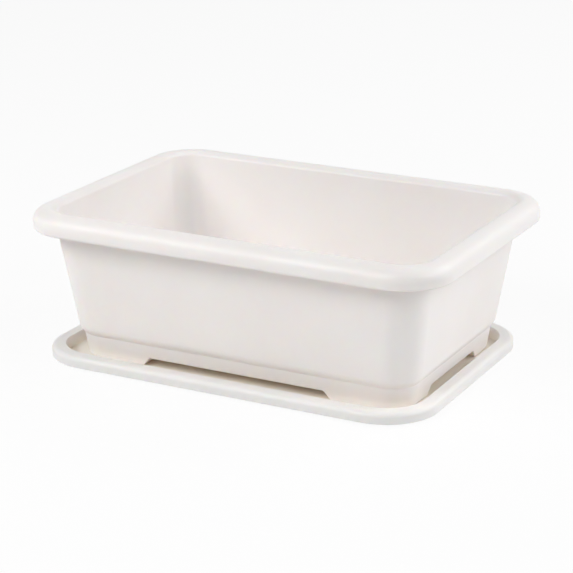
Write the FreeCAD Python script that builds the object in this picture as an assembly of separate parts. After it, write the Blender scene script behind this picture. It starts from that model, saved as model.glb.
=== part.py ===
import FreeCAD, Part
import math
import os

# Herb planter: a tapered tub with a rolled rim, the drip tray that it stands in
# and a slotted drainage plate that drops inside it.
#
# Millimetres. +Z is up, +X runs along the length and the front faces -Y.
# The origin lies on the table, under the centre of the tub.

# Drip tray. Its floor reaches past the tub's feet by a moat, which is wider at the front and
# back than at the ends. The tub was set down a little off the tray's middle.
tray_end_moat = 9.1
tray_side_moat = 11.6
tray_corner_radius = 42.0
tray_height = 9.8
tray_thickness = 2.0
tray_hem_height = 0.3
tray_lip_width = 10.8
tray_bead_radius = 4.0
tray_wall_lean = 2.7
tray_floor_round = 1.5
tray_offset_x = -3.0
tray_offset_y = -1.8

# Tub, from the foot to the crest of its rim.
rim_length = 340.0
rim_width = 239.0
rim_corner_radius = 40.0
rim_depth = 15.6
rim_outer_radius = 11.0
rim_inner_radius = 7.7
rim_overhang = 16.8
tub_height = 116.8
wall_thickness = 3.0
wall_lean = 11.4
wall_corner_radius = 24.0
shoulder_height = 19.2
shoulder_width = 2.6
shoulder_round = 2.4
skirt_lean = 2.3

# The rim's band joins the wall part of the way round its inner bead.
rim_join_angle = math.radians(50.0)
rim_end_angle = math.radians(75.0)

# Gaps under the tub's raised floor, between its four hollow feet.
floor_height = 6.6
side_gap_width = 145.0
end_gap_width = 79.0
gap_slant_share = 0.95
gap_round = 1.5

# Drain holes in the raised floor, on a square pitch.
drain_diameter = 6.0
drain_pitch = 26.0
drain_columns = 9
drain_rows = 3

# Drainage plate, on the shoulder inside the tub and on legs under its middle.
plate_thickness = 3.0
plate_clearance = 0.8
plate_border = 12.0
slot_width = 3.4
slot_length = 22.0
slot_bridge = 6.0
slot_pitch = 9.0
leg_diameter = 9.0
leg_spacing_x = 78.0
leg_spacing_y = 52.0
leg_columns = 3
leg_rows = 2
rib_thickness = 1.8
rib_depth = 5.0

# Every cutter runs this far past the face that it opens.
overrun = 5.0

UP = FreeCAD.Vector(0, 0, 1)


def corner_frames(half_length, half_width, radius, middle=(0, 0), height=0):
    """Start angle, centre, outward and forward directions of each corner, and the run that leads to it."""
    core_x = half_length - radius
    core_y = half_width - radius
    corners = ((1, 1), (-1, 1), (-1, -1), (1, -1))
    for index, (side_x, side_y) in enumerate(corners):
        start = index * math.pi / 2
        centre = FreeCAD.Vector(middle[0] + side_x * core_x, middle[1] + side_y * core_y, height)
        ahead = FreeCAD.Vector(math.cos(start), math.sin(start), 0)
        run = 2 * (core_y if index % 2 == 0 else core_x)
        yield start, centre, ahead, UP.cross(ahead), run


def rounded_rectangle(half_length, half_width, radius, height, middle=(0, 0)):
    """Closed wire of four straight sides and four quarter arcs."""
    edges = []
    frames = corner_frames(half_length, half_width, radius, middle, height)
    for start, centre, ahead, along, run in frames:
        corner_start = centre + ahead * radius
        side = Part.LineSegment(corner_start - along * run, corner_start)
        arc = Part.ArcOfCircle(Part.Circle(centre, UP, radius), start, start + math.pi / 2)
        edges += [side.toShape(), arc.toShape()]
    return Part.Wire(edges)


def tapered_block(lower, upper):
    """Solid between two rounded rectangles, given as wires."""
    return Part.makeLoft([lower, upper], True, True)


def arc_between(centre, radius, start, end):
    """Arc edge in the XZ plane: angles are measured from +Z towards -X."""

    def at(angle):
        return centre + FreeCAD.Vector(-radius * math.sin(angle), 0, radius * math.cos(angle))

    return Part.Arc(at(start), at((start + end) / 2), at(end)).toShape()


def edges_at_height(shape, height, tolerance):
    """Edges that lie wholly at one height."""
    found = []
    for edge in shape.Edges:
        box = edge.BoundBox
        if abs(box.ZMin - height) < tolerance and abs(box.ZMax - height) < tolerance:
            found.append(edge)
    return found


# Heights of the assembled planter
foot_z = tray_thickness
floor_under_z = foot_z + floor_height
floor_top_z = floor_under_z + wall_thickness
shoulder_z = foot_z + shoulder_height
ledge_z = shoulder_z + wall_thickness
crest_z = foot_z + tub_height
hem_z = crest_z - rim_depth
slope = wall_lean / (hem_z - shoulder_z)
join_z = crest_z - rim_inner_radius + (rim_inner_radius - wall_thickness / 2) * math.cos(rim_join_angle)
height_tolerance = wall_thickness / 100

# The tray's overall size, from the tub's feet outwards
foot_inset = rim_overhang + wall_lean + shoulder_width + skirt_lean
tray_side_width = tray_wall_lean + tray_lip_width
tray_length = rim_length + 2 * (tray_end_moat + tray_side_width - foot_inset)
tray_width = rim_width + 2 * (tray_side_moat + tray_side_width - foot_inset)


def wall_outline(height, inset):
    """Section of the leaning wall at one height, drawn in by an inset."""
    grown = slope * (height - hem_z) - rim_overhang - inset
    radius = wall_corner_radius - inset
    return rounded_rectangle(rim_length / 2 + grown, rim_width / 2 + grown, radius, height)


def skirt_outline(height, inset):
    """Section of the band between the shoulder and the feet, drawn in by an inset."""
    lean = skirt_lean * (shoulder_z - height) / shoulder_height
    drawn_in = rim_overhang + wall_lean + shoulder_width + lean + inset
    radius = wall_corner_radius - shoulder_width - inset
    return rounded_rectangle(rim_length / 2 - drawn_in, rim_width / 2 - drawn_in, radius, height)


def carried_round(section, half_length, half_width, radius):
    """Solid that a section makes when it is carried round a rounded rectangle.

    The section lies in the XZ plane, with X measured out from the centre of a corner.
    """
    pieces = []
    for turn, centre, ahead, along, run in corner_frames(half_length, half_width, radius):
        placed = section.copy()
        placed.rotate(FreeCAD.Vector(0, 0, 0), UP, math.degrees(turn))
        placed.translate(centre)
        pieces.append(placed.revolve(centre, UP, math.degrees(math.pi / 2)))
        pieces.append(placed.extrude(-along * run))
    return pieces[0].fuse(pieces[1:])


def rim_section():
    """Section of the rolled rim: a hanging hem, and a bead on both sides of a flat crest."""
    middle_radius = rim_inner_radius - wall_thickness / 2
    wall_middle = rim_overhang - slope * (join_z - hem_z) + wall_thickness / 2
    inner_inset = wall_middle - middle_radius * math.sin(rim_join_angle)
    quarter = math.pi / 2

    def place(inset, height):
        return FreeCAD.Vector(rim_corner_radius - inset, 0, height)

    outer_bead = place(rim_outer_radius, crest_z - rim_outer_radius)
    inner_bead = place(inner_inset, crest_z - rim_inner_radius)
    arcs = [
        arc_between(outer_bead, rim_outer_radius, -quarter, 0),
        arc_between(inner_bead, rim_inner_radius, 0, rim_end_angle),
        arc_between(inner_bead, rim_inner_radius - wall_thickness, rim_end_angle, 0),
        arc_between(outer_bead, rim_outer_radius - wall_thickness, 0, -quarter),
    ]
    edges = []
    last = place(0, hem_z)
    for arc in arcs:
        edges.append(Part.LineSegment(last, arc.firstVertex().Point).toShape())
        edges.append(arc)
        last = arc.lastVertex().Point
    edges.append(Part.LineSegment(last, place(wall_thickness, hem_z)).toShape())
    edges.append(Part.LineSegment(place(wall_thickness, hem_z), place(0, hem_z)).toShape())
    return Part.Face(Part.Wire(edges))


def gap_prism(width, half_run, grown, along_x):
    """Bar with slanted sides that opens one gap under the raised floor, grown by a wall."""
    top_z = floor_under_z + grown
    bottom_z = foot_z - overrun
    half_top = width / 2 + grown
    half_bottom = half_top + gap_slant_share * (top_z - bottom_z)
    points = [(-half_bottom, bottom_z), (-half_top, top_z), (half_top, top_z), (half_bottom, bottom_z)]
    if along_x:
        corners = [FreeCAD.Vector(-half_run, across, height) for across, height in points]
        direction = FreeCAD.Vector(2 * half_run, 0, 0)
    else:
        corners = [FreeCAD.Vector(across, -half_run, height) for across, height in points]
        direction = FreeCAD.Vector(0, 2 * half_run, 0)
    bar = Part.Face(Part.makePolygon(corners + corners[:1])).extrude(direction)
    upper = [edge for edge in edges_at_height(bar, top_z, height_tolerance)
             if edge.Length > 2 * half_run - height_tolerance]
    return bar.makeFillet(gap_round, upper)


def gap_cross(grown):
    """The cross-shaped space under the raised floor, from front to back and from end to end."""
    front_to_back = gap_prism(side_gap_width, rim_width / 2, grown, False)
    end_to_end = gap_prism(end_gap_width, rim_length / 2, grown, True)
    return front_to_back.fuse(end_to_end)


def drain_holes():
    """Cylinders through the raised floor on a square pitch about its middle."""
    holes = []
    for column in range(drain_columns):
        for row in range(drain_rows):
            x = drain_pitch * (column - (drain_columns - 1) / 2)
            y = drain_pitch * (row - (drain_rows - 1) / 2)
            foot = FreeCAD.Vector(x, y, floor_under_z - overrun)
            holes.append(Part.makeCylinder(drain_diameter / 2, wall_thickness + 2 * overrun, foot))
    return holes


def planter_tub():
    """One moulding: leaning walls, rolled rim, shoulder, skirt, raised floor and four hollow feet."""
    rim = carried_round(rim_section(), rim_length / 2, rim_width / 2, rim_corner_radius)
    wall = tapered_block(wall_outline(shoulder_z, 0), wall_outline(join_z, 0))
    wall = wall.makeFillet(shoulder_round, edges_at_height(wall, shoulder_z, height_tolerance))
    skirt = tapered_block(skirt_outline(foot_z, 0), skirt_outline(ledge_z, 0)).cut(gap_cross(0))
    body = wall.fuse([skirt, rim])

    open_z = crest_z + overrun
    room = tapered_block(wall_outline(ledge_z, wall_thickness), wall_outline(open_z, wall_thickness))
    well_z = foot_z + wall_thickness
    wells = tapered_block(skirt_outline(well_z, wall_thickness), skirt_outline(ledge_z, wall_thickness))
    wells = wells.cut(gap_cross(wall_thickness))
    tub = body.cut(room).cut(wells).cut(drain_holes())
    return tub.removeSplitter()


def drip_tray():
    """Shallow tray: flat floor on the table, leaning side and a rounded lip with a hanging hem."""
    middle = (tray_offset_x, tray_offset_y)

    def outline(height, inset):
        radius = tray_corner_radius - inset
        return rounded_rectangle(tray_length / 2 - inset, tray_width / 2 - inset, radius, height, middle)

    def lip_block(inset, bottom_z, top_z, radius):
        block = Part.Face(outline(bottom_z, inset)).extrude(FreeCAD.Vector(0, 0, top_z - bottom_z))
        return block.makeFillet(radius, edges_at_height(block, top_z, height_tolerance))

    lip = lip_block(0, tray_hem_height, tray_height, tray_bead_radius)
    hollow_top = tray_height - tray_thickness
    hollow_radius = tray_bead_radius - tray_thickness
    hollow = lip_block(tray_thickness, tray_hem_height - overrun, hollow_top, hollow_radius)
    outside_top = tray_lip_width - tray_thickness
    side = tapered_block(outline(0, outside_top + tray_wall_lean), outline(hollow_top, outside_top))
    inside_foot = tray_lip_width + tray_wall_lean
    rise = tray_height - tray_thickness
    lean_above = tray_wall_lean * overrun / rise
    room = tapered_block(
        outline(tray_thickness, inside_foot),
        outline(tray_height + overrun, tray_lip_width - lean_above),
    )
    room = room.makeFillet(tray_floor_round, edges_at_height(room, tray_thickness, height_tolerance))
    return lip.cut(hollow).fuse(side).cut(room).removeSplitter()


def slot_wire(centre_x, centre_y, height):
    """Round-ended slot along X."""
    radius = slot_width / 2
    reach = slot_length / 2 - radius
    right = FreeCAD.Vector(centre_x + reach, centre_y, height)
    left = FreeCAD.Vector(centre_x - reach, centre_y, height)
    side = FreeCAD.Vector(0, radius, 0)
    tip = FreeCAD.Vector(radius, 0, 0)
    edges = [
        Part.LineSegment(left - side, right - side).toShape(),
        Part.Arc(right - side, right + tip, right + side).toShape(),
        Part.LineSegment(right + side, left + side).toShape(),
        Part.Arc(left + side, left - tip, left - side).toShape(),
    ]
    return Part.Wire(edges)


def centred_places(free_length, pitch, item):
    """Places of as many items as fit a free length, on a pitch about its middle."""
    count = int((free_length - item) // pitch) + 1
    return [pitch * (index - (count - 1) / 2) for index in range(count)]


def drainage_plate():
    """Slotted plate with a plain border, on round legs joined by ribs."""
    inset = wall_thickness + plate_clearance
    drawn_in = rim_overhang + slope * (hem_z - ledge_z) + inset
    half_length = rim_length / 2 - drawn_in
    half_width = rim_width / 2 - drawn_in
    radius = wall_corner_radius - inset
    outline = rounded_rectangle(half_length, half_width, radius, ledge_z)

    leg_places_x = [leg_spacing_x * (column - (leg_columns - 1) / 2) for column in range(leg_columns)]
    leg_places_y = [leg_spacing_y * (row - (leg_rows - 1) / 2) for row in range(leg_rows)]

    free_length = 2 * (half_length - plate_border)
    free_width = 2 * (half_width - plate_border)
    slots = []
    for x in centred_places(free_length, slot_length + slot_bridge, slot_length):
        for y in centred_places(free_width, slot_pitch, slot_width):
            if all(abs(y - leg_y) > (leg_diameter + slot_width) / 2 for leg_y in leg_places_y):
                slots.append(slot_wire(x, y, ledge_z))
    plate = Part.makeFace([outline] + slots, "Part::FaceMakerBullseye").extrude(UP * plate_thickness)

    leg_height = ledge_z - floor_top_z
    rib_length = leg_spacing_x * (leg_columns - 1)
    supports = []
    for leg_y in leg_places_y:
        for leg_x in leg_places_x:
            foot = FreeCAD.Vector(leg_x, leg_y, floor_top_z)
            supports.append(Part.makeCylinder(leg_diameter / 2, leg_height, foot))
        corner = FreeCAD.Vector(-rib_length / 2, leg_y - rib_thickness / 2, ledge_z - rib_depth)
        supports.append(Part.makeBox(rib_length, rib_thickness, rib_depth, corner))
    return plate.fuse(supports).removeSplitter()


def main():
    os.makedirs("parts", exist_ok=True)
    pieces = {
        "planter_tub": planter_tub(),
        "drip_tray": drip_tray(),
        "drainage_plate": drainage_plate(),
    }
    for name, shape in pieces.items():
        box = shape.optimalBoundingBox()
        print(
            name, "valid", shape.isValid(), "solids", len(shape.Solids), "volume", round(shape.Volume),
            "x", round(box.XMin, 2), round(box.XMax, 2), "y", round(box.YMin, 2), round(box.YMax, 2),
            "z", round(box.ZMin, 2), round(box.ZMax, 2),
        )
        shape.exportStep(f"parts/{name}.step")


main()
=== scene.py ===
"""Herb planter of off-white moulded plastic: a tub with a rolled rim, its drip tray and a drainage plate.

Metres. +Z is up, +X runs along the planter's length and its front faces -Y.
"""
import math

import bmesh
import bpy
import numpy as np
from mathutils import Matrix, Vector


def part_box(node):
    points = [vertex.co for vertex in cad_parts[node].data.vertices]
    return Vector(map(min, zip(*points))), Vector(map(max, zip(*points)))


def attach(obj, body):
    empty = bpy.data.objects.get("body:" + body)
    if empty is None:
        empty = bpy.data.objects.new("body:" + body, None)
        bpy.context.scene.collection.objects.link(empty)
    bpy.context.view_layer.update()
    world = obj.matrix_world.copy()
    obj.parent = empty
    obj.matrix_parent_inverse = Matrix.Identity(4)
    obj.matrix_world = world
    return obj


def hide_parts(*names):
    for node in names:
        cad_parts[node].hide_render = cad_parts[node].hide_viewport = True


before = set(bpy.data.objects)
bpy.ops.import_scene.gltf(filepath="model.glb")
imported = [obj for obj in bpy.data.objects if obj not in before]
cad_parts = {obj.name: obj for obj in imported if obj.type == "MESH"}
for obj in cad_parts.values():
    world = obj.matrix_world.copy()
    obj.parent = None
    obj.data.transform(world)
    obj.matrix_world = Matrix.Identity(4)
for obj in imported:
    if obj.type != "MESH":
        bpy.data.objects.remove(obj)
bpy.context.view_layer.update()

MM = 0.001

# Boxes of the tub and the tray, which set every overall size
tub_low, tub_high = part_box("planter_tub")
tray_low, tray_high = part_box("drip_tray")

# Tub: rolled rim
rim_corner_radius = 40.0 * MM
rim_depth = 15.6 * MM
rim_outer_radius = 11.0 * MM
rim_inner_radius = 7.7 * MM
rim_overhang = 16.8 * MM
rim_hollow_round = 4.0 * MM
hem_round = 2.2 * MM
inner_arc_drop = 2.4 * MM
inner_edge_round = 3.0 * MM

# Tub: wall, shoulder, skirt and feet
wall_thickness = 3.0 * MM
wall_lean = 11.4 * MM
wall_corner_radius = 24.0 * MM
shoulder_height = 19.2 * MM
shoulder_width = 2.6 * MM
crease_height = 17.4 * MM
shoulder_rise = 3.0 * MM
shoulder_round = 11.0 * MM
skirt_lean = 2.3 * MM
floor_height = 6.6 * MM
side_gap_width = 145.0 * MM
end_gap_width = 79.0 * MM
gap_slant_share = 0.95
gap_blend = 1.2 * MM
foot_round = 0.9 * MM
inside_round = 1.2 * MM
crease_round = 0.5 * MM

# Tub: drain holes in the raised floor
drain_diameter = 6.0 * MM
drain_pitch = 26.0 * MM
drain_columns = 9
drain_rows = 3

# Tray
tray_corner_radius = 42.0 * MM
tray_thickness = 2.0 * MM
tray_hem_height = 1.2 * MM
tray_lip_width = 10.8 * MM
tray_bead_radius = 4.0 * MM
tray_inner_round = 0.8 * MM
tray_wall_lean = 2.7 * MM
tray_hem_round = 0.8 * MM

# Heights of the tub's features above the table
foot_z = tub_low.z
crest_z = tub_high.z
hem_z = crest_z - rim_depth
shoulder_z = foot_z + shoulder_height
crease_z = foot_z + crease_height
ledge_z = shoulder_z + wall_thickness
well_z = foot_z + wall_thickness
wall_slope = wall_lean / (hem_z - shoulder_z)
skirt_slope = skirt_lean / shoulder_height

# Fineness of the surfaces
corner_steps = 16
edge_steps = 8
run_spacing = 7.0 * MM
guard_distance = 0.3 * MM
gap_margin = 3.0 * MM
weld_distance = 0.001 * MM
drain_segments = 24
sharp_angle = math.radians(50)

# Grain of the plastic, as noise scales per metre from the slow clouds to the finest grain
cloud_scale = 14.0
wave_scale = 35.0
speckle_scale = 420.0
grain_scale = 1400.0

# How the grain shows in the plastic's tint, gloss and relief
cloud_low = 0.3
cloud_high = 0.7
speckle_share = 0.2
cloud_gloss = 0.12
speckle_gloss = 0.10
grain_height = 0.25
speckle_height = 0.35
wave_height = 3.0
relief_strength = 0.25
relief_depth = 0.02 * MM
noise_middle = 0.5

# Light in the plastic
refraction = 1.49
scatter_share = 0.3
scatter_reach = (1.0, 0.6, 0.35)
scatter_depth = 5.0 * MM

# Studio floor and light
floor_size = 16.0
floor_drop = 0.1 * MM
floor_white = 0.92
seen_white = 0.92
ambient_strength = 0.03
light_bounces = 10

# Studio camera, whose lens and sensor Blender takes in millimetres
camera_azimuth = math.radians(27.36)
camera_elevation = math.radians(18.28)
camera_distance = 1517.9 * MM
camera_target = Vector((-1.7 * MM, 0, 51.0 * MM))
lens_length = 124.2
sensor_width = 36.0


class Ring:
    """Where the points round a rounded rectangle stand.

    The points go anticlockwise from the front of the right-hand end. On a side, one share runs along
    the straight part from -1 to 1 and the direction is square to it. In a corner both shares stay at
    1 or -1 and the direction turns.
    """

    def __init__(self, x_shares, y_shares):
        turn = np.linspace(0, math.pi / 2, corner_steps + 1)[1:-1]
        self.x_count = len(x_shares)
        self.y_count = len(y_shares)
        self.turn_count = len(turn)

        # Right, back, left and front, each with its quarter turn, and the corner that follows each
        sides = ((1, y_shares, 0), (x_shares[::-1], 1, 1), (-1, y_shares[::-1], 2), (x_shares, -1, 3))
        corners = ((1, 1), (-1, 1), (-1, -1), (1, -1))
        columns = []
        for (share_x, share_y, quarter), corner in zip(sides, corners):
            count = self.y_count if quarter % 2 == 0 else self.x_count
            for x, y, angle in ((share_x, share_y, np.zeros(count)), (*corner, turn)):
                angle = angle + quarter * math.pi / 2
                columns.append(np.stack([x + 0 * angle, y + 0 * angle, np.cos(angle), np.sin(angle)]))
        self.share_x, self.share_y, self.out_x, self.out_y = np.concatenate(columns, axis=1)

    def place(self, half_length, half_width, radius, middle=(0, 0)):
        """X and Y of the points: share times straight half-run, plus radius times direction."""
        x = middle[0] + self.share_x * (half_length - radius) + self.out_x * radius
        y = middle[1] + self.share_y * (half_width - radius) + self.out_y * radius
        return x, y

    def rows(self, outline):
        """The outline's points as (left, right, front, back), each in the direction of rising X or Y."""
        ends = np.cumsum([self.y_count, self.turn_count, self.x_count, self.turn_count,
                          self.y_count, self.turn_count, self.x_count])
        right, north_east, back, north_west, left, south_west, front, south_east = np.split(outline, ends)
        right_column = np.concatenate([front[-1:], south_east, right, north_east, back[:1]])
        left_column = np.concatenate([back[-1:], north_west, left, south_west, front[:1]])[::-1]
        return left_column, right_column, front, back[::-1]


def graded_shares(stops, counts):
    """Shares from -1 to 1 that lie closer together where the stops ask for it, alike on both sides."""
    half = [np.linspace(low, high, count, endpoint=False)
            for low, high, count in zip(stops, stops[1:], counts)]
    half = np.concatenate(half + [np.array([stops[-1]])])
    return np.concatenate([-half[:0:-1], half])


def rounded_path(corners):
    """Points (inset, height, plan radius) along straight runs whose corners are replaced by arcs.

    A corner is (inset, height, plan radius, edge round). Its arc starts where it touches the run into the
    corner, turns about a centre one round away from both runs and ends where it touches the run out of it.
    """
    points = [np.array(corners[0][:3])]
    for before, corner, after in zip(corners, corners[1:], corners[2:] + [None]):
        here = np.array(corner[:3])
        if after is None:
            append_run(points, here)
            break
        into = here[:2] - np.array(before[:2])
        out = np.array(after[:2]) - here[:2]
        into_length = np.linalg.norm(into)
        out_length = np.linalg.norm(out)
        into = into / into_length
        out = out / out_length
        turned = math.acos(float(np.clip(into @ out, -1, 1)))
        touch = corner[3] * math.tan(turned / 2)
        start_radius = here[2] + (before[2] - here[2]) * touch / into_length
        end_radius = here[2] + (after[2] - here[2]) * touch / out_length
        start = np.array([*(here[:2] - into * touch), start_radius])
        append_run(points, start)
        inward = (out - into) / np.linalg.norm(out - into)
        centre = here[:2] + inward * corner[3] / math.cos(turned / 2)
        across = start[:2] - centre
        for share in np.linspace(0, 1, edge_steps + 1)[1:]:
            angle = turned * share
            spot = centre + across * math.cos(angle) + into * corner[3] * math.sin(angle)
            points.append(np.array([*spot, start_radius + (end_radius - start_radius) * share]))
    return np.array(points)


def append_run(points, end):
    """Adds a straight run with a guard point close to each end, so that rounds don't shade the flat."""
    start = points[-1]
    length = np.linalg.norm(end[:2] - start[:2])
    if length > 4 * guard_distance:
        guard = guard_distance / length
        count = max(2, round(length / run_spacing) + 1)
        points.extend(start + (end - start) * share for share in np.linspace(guard, 1 - guard, count))
    points.append(end)


def smooth_least(first, second, blend):
    """The smaller of two values, rounded over where they differ by less than the blend."""
    near = np.maximum(blend - np.abs(first - second), 0) / blend
    return np.minimum(first, second) - near * near * blend / 4


def carried_patch(ring, path, half_length, half_width, middle=(0, 0)):
    """Grid of points that a path makes when it is carried round a rounded rectangle."""
    inset, height, radius = path.T[:, :, None]
    x, y = ring.place(half_length - inset, half_width - inset, radius, middle)
    return np.stack([x, y, height + 0 * x], axis=2)


def floor_patch(ring, outline, height_at):
    """Grid that fills an outline. Columns keep their X, rows keep their Y and the height is a formula."""
    left, right, front, back = ring.rows(outline)
    inner_x = front[:, 0]
    x = np.broadcast_to(inner_x, (len(right), len(inner_x)))
    y = np.broadcast_to(right[:, 1:2], x.shape)
    inner = np.stack([x, y, height_at(x, y)], axis=2)
    inner[0] = front
    inner[-1] = back
    return np.concatenate([left[:, None], inner, right[:, None]], axis=1)


def closed_surface(name, patches):
    """One mesh from grids of points, welded where they meet.

    A patch is (points, whether it closes round).
    """
    body = bmesh.new()
    for points, closes in patches:
        rows, columns = points.shape[:2]
        index = np.arange(rows * columns).reshape(rows, columns)
        if closes:
            index = np.concatenate([index, index[:, :1]], axis=1)
        quads = np.stack([index[:-1, :-1], index[:-1, 1:], index[1:, 1:], index[1:, :-1]], axis=2)
        patch = bpy.data.meshes.new(name)
        patch.from_pydata(points.reshape(-1, 3), [], quads.reshape(-1, 4))
        body.from_mesh(patch)
        bpy.data.meshes.remove(patch)
    bmesh.ops.remove_doubles(body, verts=body.verts, dist=weld_distance)
    bmesh.ops.recalc_face_normals(body, faces=body.faces)
    mesh = bpy.data.meshes.new(name)
    body.to_mesh(mesh)
    body.free()
    mesh.shade_smooth()
    piece = bpy.data.objects.new(name, mesh)
    bpy.context.scene.collection.objects.link(piece)
    return piece


def gap_lift(x, y, grown):
    """How far the raised floor stands above the feet.

    Each gap is a bar with slanted sides, so its lift rises from its foot edge at the slant's rate up to
    the floor's height. The two gaps cross, and the higher one counts.
    """
    lifts = []
    for width, across in ((side_gap_width, x), (end_gap_width, y)):
        foot_edge = width / 2 + grown + gap_slant_share * floor_height
        ramp = (foot_edge - np.abs(across)) / gap_slant_share
        lifts.append(smooth_least(ramp, floor_height, gap_blend))
    highest = -smooth_least(-lifts[0], -lifts[1], gap_blend / 2)
    return -smooth_least(-highest, 0, gap_blend / 2)


def lifted_patch(ring, path, top_z, grown):
    """A band of the skirt whose lower edge follows the gaps.

    The lift fades out up to the band's top, and a lifted point moves out with the skirt's lean.
    """
    inset, height, radius = path.T[:, :, None]
    half_length, half_width = tub_high.x, tub_high.y
    lowest = path[:, 1].min()
    x, y = ring.place(half_length - inset, half_width - inset, radius)
    share = np.clip((top_z - height) / (top_z - lowest - foot_round), 0, 1)
    raised = gap_lift(x, y, grown) * share
    inset = inset - skirt_slope * raised
    x, y = ring.place(half_length - inset, half_width - inset, radius)
    return np.stack([x, y, height + raised], axis=2)


def wall_inset(height):
    """How far the outside of the wall lies in from the rim's edge: the overhang and the wall's lean."""
    return rim_overhang + wall_slope * (hem_z - height)


def skirt_inset(height):
    """How far the skirt's outside lies in: overhang, the wall's lean, the shoulder and the skirt's lean."""
    return rim_overhang + wall_lean + shoulder_width + skirt_slope * (shoulder_z - height)


def tub_ring():
    """Points round the tub, closer together where the slanted ends of the gaps are."""
    x_run = tub_high.x - skirt_inset(foot_z) - (wall_corner_radius - shoulder_width)
    y_run = tub_high.y - skirt_inset(foot_z) - (wall_corner_radius - shoulder_width)
    # Steps from a side's middle to the slant, over the slant, on to near the corner, and up to it
    counts = (12, 26, 8, 1)
    shares = []
    for width, run in ((side_gap_width, x_run), (end_gap_width, y_run)):
        start = (width / 2 - gap_margin) / run
        end = (width / 2 + wall_thickness + gap_slant_share * floor_height + gap_margin) / run
        edge = 1 - guard_distance / run
        shares.append(graded_shares((0, start, end, edge, 1), counts))
    return Ring(*shares)


def tub_shell():
    """The tub as one closed surface, from under the floor, up the outside, over the rim and down inside."""
    ring = tub_ring()
    skirt_radius = wall_corner_radius - shoulder_width
    inner_radius = wall_corner_radius - wall_thickness
    inner_skirt_radius = skirt_radius - wall_thickness
    foot_inset = skirt_inset(foot_z)

    # Outside of the skirt, whose lower edge follows the gaps between the feet
    under_edge = (foot_inset + 2 * foot_round, foot_z, skirt_radius, 0)
    foot_corner = (foot_inset, foot_z, skirt_radius, foot_round)
    skirt_middle_z = crease_z - 4 * crease_round
    skirt_middle = (skirt_inset(skirt_middle_z), skirt_middle_z, skirt_radius, 0)
    skirt = lifted_patch(ring, rounded_path([under_edge, foot_corner, skirt_middle]), skirt_middle_z, 0)

    # Shoulder
    skirt_top = (skirt_inset(crease_z), crease_z, skirt_radius, crease_round)
    shoulder_edge_z = crease_z + shoulder_rise
    shoulder_edge = (wall_inset(shoulder_edge_z), shoulder_edge_z, wall_corner_radius, shoulder_round)

    # Rim: its inner arc turns by the slant, and a softer arc leads on into the inside of the wall
    under_z = crest_z - wall_thickness
    slant = math.acos(1 - inner_arc_drop / rim_inner_radius)
    edge_turn = math.pi / 2 - math.atan(wall_slope) - slant
    slant_run = rim_inner_radius * math.tan(slant / 2) + inner_edge_round * math.tan(edge_turn / 2)
    edge_z = crest_z - slant_run * math.sin(slant)
    edge_inset = wall_inset(edge_z) + wall_thickness
    crest_end = edge_inset - slant_run * math.cos(slant)

    def concentric(inset):
        """Plan radius that keeps a rim corner about the same centre."""
        return rim_corner_radius - inset

    upper = rounded_path([
        skirt_middle,
        skirt_top,
        shoulder_edge,
        (wall_inset(under_z), under_z, wall_corner_radius, rim_hollow_round),
        (wall_thickness, under_z, concentric(wall_thickness), rim_outer_radius - wall_thickness),
        (wall_thickness, hem_z, concentric(wall_thickness), crease_round),
        (0, hem_z, rim_corner_radius, hem_round),
        (0, crest_z, rim_corner_radius, rim_outer_radius),
        (crest_end, crest_z, concentric(crest_end), rim_inner_radius),
        (edge_inset, edge_z, inner_radius, inner_edge_round),
        (wall_inset(ledge_z) + wall_thickness, ledge_z, inner_radius, inside_round),
        (skirt_inset(ledge_z) + wall_thickness, ledge_z, inner_skirt_radius, crease_round),
        (skirt_inset(shoulder_z) + wall_thickness, shoulder_z, inner_skirt_radius, 0),
    ])
    body = carried_patch(ring, upper, tub_high.x, tub_high.y)

    # Inside of the skirt, with the wells of the hollow feet
    well_inset = skirt_inset(well_z) + wall_thickness
    inner_start = (skirt_inset(shoulder_z) + wall_thickness, shoulder_z, inner_skirt_radius, 0)
    well_corner = (well_inset, well_z, inner_skirt_radius, inside_round)
    well_edge = (well_inset + 2 * inside_round, well_z, inner_skirt_radius, 0)
    well_path = rounded_path([inner_start, well_corner, well_edge])
    wells = lifted_patch(ring, well_path, shoulder_z, wall_thickness)

    underside = floor_patch(ring, skirt[0], lambda x, y: foot_z + gap_lift(x, y, 0))
    floor = floor_patch(ring, wells[-1], lambda x, y: well_z + gap_lift(x, y, wall_thickness))
    patches = [(underside, False), (skirt, True), (body, True), (wells, True), (floor, False)]
    return closed_surface("tub", patches)


def drill_floor(tub):
    """Opens the drain holes with round cutters on a square pitch about the middle of the floor.

    Each cutter is turned by half a segment, so that its edges keep off the lines of the floor's grid.
    """
    cutters = bmesh.new()
    half_segment = Matrix.Rotation(math.pi / drain_segments, 4, "Z")
    depth = 3 * wall_thickness
    height = foot_z + floor_height + wall_thickness / 2
    for column in range(drain_columns):
        for row in range(drain_rows):
            x = drain_pitch * (column - (drain_columns - 1) / 2)
            y = drain_pitch * (row - (drain_rows - 1) / 2)
            bmesh.ops.create_cone(cutters, cap_ends=True, segments=drain_segments, depth=depth,
                                  radius1=drain_diameter / 2, radius2=drain_diameter / 2,
                                  matrix=Matrix.Translation((x, y, height)) @ half_segment)
    mesh = bpy.data.meshes.new("drain_cutters")
    cutters.to_mesh(mesh)
    cutters.free()
    cutter = bpy.data.objects.new("drain_cutters", mesh)
    bpy.context.scene.collection.objects.link(cutter)
    cut = tub.modifiers.new("drain", "BOOLEAN")
    cut.operation = "DIFFERENCE"
    cut.solver = "EXACT"
    cut.object = cutter
    shaped = bpy.data.meshes.new_from_object(tub.evaluated_get(bpy.context.evaluated_depsgraph_get()))
    tub.modifiers.clear()
    tub.data = shaped
    bpy.data.objects.remove(cutter)
    shaped.shade_smooth()
    shaped.set_sharp_from_angle(angle=sharp_angle)
    return tub


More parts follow.
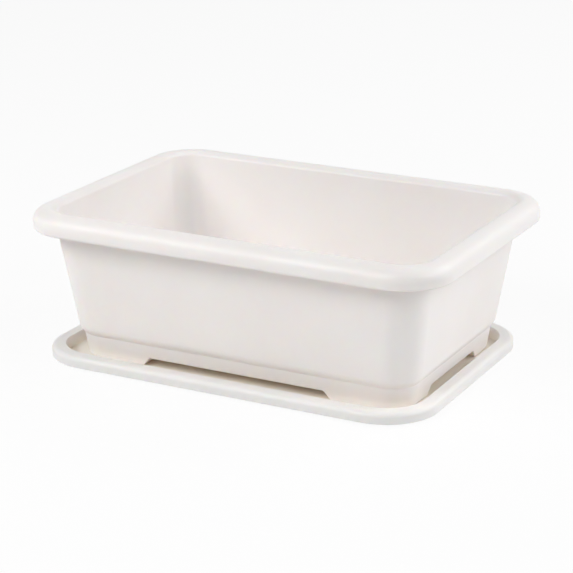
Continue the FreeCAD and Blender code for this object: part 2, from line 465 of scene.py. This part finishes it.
def tray_shell():
    """The tray as one closed surface: its section carried round, with a flat floor above and below."""
    half_length = (tray_high.x - tray_low.x) / 2
    half_width = (tray_high.y - tray_low.y) / 2
    middle = ((tray_high.x + tray_low.x) / 2, (tray_high.y + tray_low.y) / 2)
    top_z = tray_high.z
    under_z = top_z - tray_thickness
    floor_z = tray_low.z + tray_thickness
    side_inset = tray_lip_width - tray_thickness
    small_radius = tray_bead_radius - tray_thickness
    wall_slant = tray_wall_lean / (top_z - floor_z)
    base_inset = side_inset + wall_slant * (under_z - tray_low.z)
    floor_inset = tray_lip_width + tray_wall_lean

    def corner(inset, height, edge_round):
        """A corner of the section, with the plan radius that keeps the tray's corners about one centre."""
        return (inset, height, tray_corner_radius - inset, edge_round)

    path = rounded_path([
        corner(base_inset + 4 * inside_round, tray_low.z, 0),
        corner(base_inset, tray_low.z, inside_round),
        corner(side_inset, under_z, crease_round),
        corner(tray_thickness, under_z, small_radius),
        corner(tray_thickness, tray_low.z + tray_hem_height, tray_hem_round),
        corner(0, tray_low.z + tray_hem_height, tray_hem_round),
        corner(0, top_z, tray_bead_radius),
        corner(tray_lip_width, top_z, tray_inner_round),
        corner(floor_inset, floor_z, inside_round),
        corner(floor_inset + 4 * inside_round, floor_z, 0),
    ])
    # Steps from the middle of a side to near its end, and from there to the corner
    near_end = 0.99
    counts = (10, 1)
    shares = graded_shares((0, near_end, 1), counts)
    ring = Ring(shares, shares)
    side = carried_patch(ring, path, half_length, half_width, middle)
    base = floor_patch(ring, side[0], lambda x, y: tray_low.z + 0 * x)
    floor = floor_patch(ring, side[-1], lambda x, y: floor_z + 0 * x)
    return closed_surface("tray", [(base, False), (side, True), (floor, False)])


class Wire:
    """A value that flows between shader nodes, with the operators of ordinary arithmetic."""

    def __init__(self, finish, socket):
        self.finish = finish
        self.socket = socket

    def maths(self, operation, first, second):
        return self.finish.node("ShaderNodeMath", {"operation": operation}, {0: first, 1: second})

    def __add__(self, other):
        return self.maths("ADD", self, other)

    __radd__ = __add__

    def __sub__(self, other):
        return self.maths("SUBTRACT", self, other)

    def __rsub__(self, other):
        return self.maths("SUBTRACT", other, self)

    def __mul__(self, other):
        return self.maths("MULTIPLY", self, other)

    __rmul__ = __mul__


class Finish:
    """The nodes of a material or a world while they are being put together."""

    def __init__(self, owner):
        owner.use_nodes = True
        self.tree = owner.node_tree
        self.tree.nodes.clear()

    def node(self, kind, settings, sockets, output=0):
        """Adds a node: its settings first, then the value or link of each socket."""
        made = self.tree.nodes.new(kind)
        for name, value in settings.items():
            setattr(made, name, value)
        for name, value in sockets.items():
            if isinstance(value, Wire):
                self.tree.links.new(value.socket, made.inputs[name])
            else:
                made.inputs[name].default_value = value
        return Wire(self, made.outputs[output]) if made.outputs else None

    def place(self):
        """Where a point of the piece lies, in metres."""
        return self.node("ShaderNodeTexCoord", {}, {}, output="Object")

    def noise(self, place, scale, detail):
        """Soft noise from 0 to 1, whose scale counts its grains per metre."""
        return self.node("ShaderNodeTexNoise", {}, {"Vector": place, "Scale": scale, "Detail": detail})

    def seen_ray(self):
        """1 where the camera, a reflection or a view through glass looks, and 0 for light on the object."""
        rays = ("Is Camera Ray", "Is Glossy Ray", "Is Transmission Ray")
        camera, glossy, through = [self.node("ShaderNodeLightPath", {}, {}, output=ray) for ray in rays]
        return camera + glossy + through

    def mix(self, share, first, second):
        """The first colour where the share is 0, the second where it is 1, and between them a blend."""
        sockets = {"Factor": share, "A": first, "B": second}
        return self.node("ShaderNodeMix", {"data_type": "RGBA"}, sockets, output="Result")


def linear(red, green, blue):
    """A colour given in the 0 to 255 steps of a screen, as linear values by the sRGB curve."""
    steps = np.array([red, green, blue]) / 255
    return tuple(np.where(steps <= 0.04045, steps / 12.92, ((steps + 0.055) / 1.055) ** 2.4))


def painted_shade_share(finish, place):
    """How much painted shade the tray gets: 0 on its lip, rising down its leaning side to 1 on its floor.

    A point lies in from the edge by the corner radius, less how far it is beyond the straight runs. The
    run along Z is longer than any height, so that height doesn't count.
    """
    middle = (tray_low + tray_high) / 2
    half = (tray_high - tray_low) / 2
    any_height = 1.0
    straight = (half.x - tray_corner_radius, half.y - tray_corner_radius, any_height)
    vector = "ShaderNodeVectorMath"
    from_middle = finish.node(vector, {"operation": "SUBTRACT"}, {0: place, 1: middle})
    spread = finish.node(vector, {"operation": "ABSOLUTE"}, {0: from_middle})
    past_run = finish.node(vector, {"operation": "SUBTRACT"}, {0: spread, 1: straight})
    beyond = finish.node(vector, {"operation": "MAXIMUM"}, {0: past_run, 1: (0, 0, 0)})
    inward = tray_corner_radius - finish.node(vector, {"operation": "LENGTH"}, {0: beyond}, output="Value")
    side = {"Value": inward, "From Min": tray_lip_width, "From Max": tray_lip_width + tray_wall_lean}
    return finish.node("ShaderNodeMapRange", {}, side)


def moulded_plastic(name, pale, warm, roughness, painted_floor_shade=None):
    """Satin moulded plastic: two close tints in slow clouds, fine grain and a faintly uneven gloss.

    A painted floor shade is for the tray: its floor and leaning inside are painted darker and warmer than
    its lip, as shade under the tub.
    """
    material = bpy.data.materials.new(name)
    finish = Finish(material)
    place = finish.place()
    clouds = finish.noise(place, cloud_scale, detail=3.0)
    grain = finish.noise(place, grain_scale, detail=2.0)
    speckle = finish.noise(place, speckle_scale, detail=3.0)
    waves = finish.noise(place, wave_scale, detail=1.0)
    cloud_range = {"Value": clouds, "From Min": cloud_low, "From Max": cloud_high}
    tint = finish.node("ShaderNodeMapRange", {}, cloud_range)
    colour = finish.mix(tint * (1 - speckle_share) + speckle * speckle_share, (*pale, 1), (*warm, 1))
    if painted_floor_shade:
        # Painted shade: the tray's leaning inside and floor blend to a darker, warmer colour, standing in
        # for the shade under the tub
        colour = finish.mix(painted_shade_share(finish, place), colour, (*painted_floor_shade, 1))
    gloss = roughness + (clouds - noise_middle) * cloud_gloss + (speckle - noise_middle) * speckle_gloss
    height = grain * grain_height + speckle * speckle_height + waves * wave_height
    relief = finish.node("ShaderNodeBump", {}, {
        "Strength": relief_strength,
        "Distance": relief_depth,
        "Height": height,
    })
    shader = finish.node("ShaderNodeBsdfPrincipled", {}, {
        "Base Color": colour,
        "Roughness": gloss,
        "IOR": refraction,
        "Subsurface Weight": scatter_share,
        "Subsurface Radius": scatter_reach,
        "Subsurface Scale": scatter_depth,
        "Normal": relief,
    })
    finish.node("ShaderNodeOutputMaterial", {}, {"Surface": shader})
    return material


def dress(piece, material):
    """Gives a piece this one material."""
    piece.data.materials.clear()
    piece.data.materials.append(material)


def studio_floor():
    """A pale floor. The camera sees it lifted towards white, so that only the shadow shows."""
    bpy.ops.mesh.primitive_plane_add(size=floor_size, location=(0, 0, -floor_drop))
    floor = bpy.context.active_object
    floor.name = "studio_floor"
    material = bpy.data.materials.new("pale_floor")
    finish = Finish(material)
    lit = finish.node("ShaderNodeBsdfDiffuse", {}, {"Color": (floor_white, floor_white, floor_white, 1)})
    glow = finish.node("ShaderNodeEmission", {}, {"Color": (1, 1, 1, 1), "Strength": 1.0})
    mixed = finish.node("ShaderNodeMixShader", {}, {0: finish.seen_ray() * seen_white, 1: lit, 2: glow})
    finish.node("ShaderNodeOutputMaterial", {}, {"Surface": mixed})
    dress(floor, material)


def studio_world():
    """Even daylight on the object, and plain white where the camera or a reflection looks past it."""
    world = bpy.data.worlds.new("studio")
    bpy.context.scene.world = world
    finish = Finish(world)
    background = finish.node("ShaderNodeBackground", {}, {"Color": (1, 1, 1, 1), "Strength": 1.0})
    light = {"Color": (1, 1, 1, 1), "Strength": ambient_strength}
    ambient = finish.node("ShaderNodeBackground", {}, light)
    mixed = finish.node("ShaderNodeMixShader", {}, {0: finish.seen_ray(), 1: ambient, 2: background})
    finish.node("ShaderNodeOutputWorld", {}, {"Surface": mixed})


def studio_lamps():
    """Square softboxes round the planter, each (place, width, watts) and turned to the tub's middle."""
    aim = Vector((0, 0, (foot_z + crest_z) / 2))
    softboxes = {
        "left_key": ((-0.9, -0.7, 0.9), 0.5, 5.4),
        "front_left": ((-0.6, -1.7, 1.4), 0.9, 20.0),
        "right": ((2.0, 0.1, 1.25), 1.2, 20.6),
        "back_right": ((1.3, 1.5, 1.4), 1.2, 20.0),
        "overhead": ((0.0, 0.3, 2.2), 1.6, 3.4),
    }
    for name, (place, width, watts) in softboxes.items():
        lamp = bpy.data.lights.new(name, "AREA")
        lamp.shape = "SQUARE"
        lamp.size = width
        lamp.energy = watts
        stand = bpy.data.objects.new(name, lamp)
        stand.location = place
        stand.rotation_euler = (aim - Vector(place)).to_track_quat("-Z", "Y").to_euler()
        bpy.context.scene.collection.objects.link(stand)


def studio_camera():
    """The photograph's viewpoint: azimuth, elevation and distance about a point inside the tub."""
    back = Vector((math.sin(camera_azimuth) * math.cos(camera_elevation),
                   -math.cos(camera_azimuth) * math.cos(camera_elevation),
                   math.sin(camera_elevation)))
    lens = bpy.data.cameras.new("camera")
    lens.lens = lens_length
    lens.sensor_width = sensor_width
    camera = bpy.data.objects.new("camera", lens)
    camera.location = camera_target + back * camera_distance
    camera.rotation_euler = (math.pi / 2 - camera_elevation, 0, camera_azimuth)
    bpy.context.scene.collection.objects.link(camera)
    bpy.context.scene.camera = camera


# The three pieces and their plastics
tub = drill_floor(tub_shell())
dress(tub, moulded_plastic("tub_plastic", linear(248, 244, 243), linear(245, 240, 238),
                           roughness=0.42))
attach(tub, "tub")
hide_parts("planter_tub")

tray = tray_shell()
# The tray's floor and leaning inside get painted shade, darker and warmer than the lip
dress(tray, moulded_plastic("tray_plastic", linear(245, 242, 240), linear(242, 238, 234),
                            roughness=0.40, painted_floor_shade=linear(240, 232, 220)))
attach(tray, "tray")
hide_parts("drip_tray")

dress(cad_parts["drainage_plate"],
      moulded_plastic("plate_plastic", linear(246, 242, 240), linear(242, 237, 234), roughness=0.45))

# Studio
studio_floor()
studio_world()
studio_lamps()
studio_camera()
bpy.context.scene.cycles.diffuse_bounces = light_bounces
bpy.context.scene.view_settings.view_transform = "Standard"
